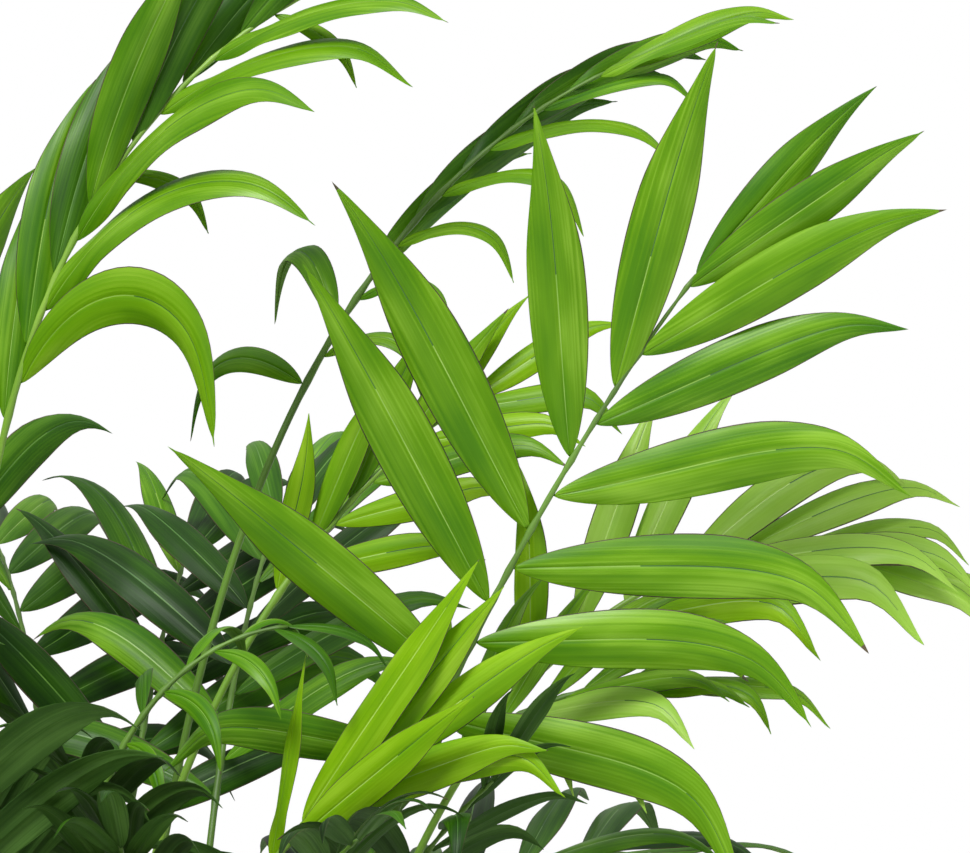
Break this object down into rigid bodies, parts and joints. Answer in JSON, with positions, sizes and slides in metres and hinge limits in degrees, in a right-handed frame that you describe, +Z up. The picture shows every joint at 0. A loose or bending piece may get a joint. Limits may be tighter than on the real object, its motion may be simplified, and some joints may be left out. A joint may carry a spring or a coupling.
{
  "type": "potted parlour palm",
  "caption": "A parlour palm with arching feathered fronds on a clump of short green canes, in a plain terracotta pot",
  "frame": {"origin": "centre of the pot's flat underside", "axes": "X to the side that the tall open frond leans to, Y to the back of the view in the picture, Z up"},
  "size_m": [0.6349, 0.5923, 0.6661],
  "materials": {
    "pot_clay": "matte unglazed terracotta",
    "potting_mix": "dark crumbly potting mix",
    "cane_green": "smooth green cane with pale rings",
    "palm_leaf": "satin green leaf"
  },
  "bodies": {
    "root": {"cane_1": "cane_green", "cane_10": "cane_green", "cane_2": "cane_green", "cane_3": "cane_green", "cane_4": "cane_green", "cane_5": "cane_green", "cane_6": "cane_green", "cane_7": "cane_green", "cane_8": "cane_green", "cane_9": "cane_green", "frond_back_right": "palm_leaf", "frond_behind": "palm_leaf", "frond_inner_1": "palm_leaf", "frond_inner_2": "palm_leaf", "frond_inner_3": "palm_leaf", "frond_inner_4": "palm_leaf", "frond_inner_5": "palm_leaf", "frond_inner_6": "palm_leaf", "frond_inner_7": "palm_leaf", "frond_inner_8": "palm_leaf", "frond_inner_9": "palm_leaf", "frond_low_front": "palm_leaf", "frond_low_right": "palm_leaf", "frond_middle_1": "palm_leaf", "frond_middle_2": "palm_leaf", "frond_middle_3": "palm_leaf", "frond_middle_4": "palm_leaf", "frond_middle_5": "palm_leaf", "frond_middle_6": "palm_leaf", "frond_open_right": "palm_leaf", "frond_skirt_1": "palm_leaf", "frond_skirt_10": "palm_leaf", "frond_skirt_11": "palm_leaf", "frond_skirt_12": "palm_leaf", "frond_skirt_2": "palm_leaf", "frond_skirt_3": "palm_leaf", "frond_skirt_4": "palm_leaf", "frond_skirt_5": "palm_leaf", "frond_skirt_6": "palm_leaf", "frond_skirt_7": "palm_leaf", "frond_skirt_8": "palm_leaf", "frond_skirt_9": "palm_leaf", "frond_tall_1": "palm_leaf", "frond_tall_2": "palm_leaf", "frond_tall_3": "palm_leaf", "frond_tall_4": "palm_leaf", "frond_tall_5": "palm_leaf", "frond_tall_6": "palm_leaf", "frond_tall_left": "palm_leaf", "frond_tall_middle": "palm_leaf", "frond_top_1": "palm_leaf", "frond_top_2": "palm_leaf", "frond_top_3": "palm_leaf", "frond_young_front": "palm_leaf", "pot": "pot_clay", "soil": "potting_mix"}
  },
  "joints": []
}
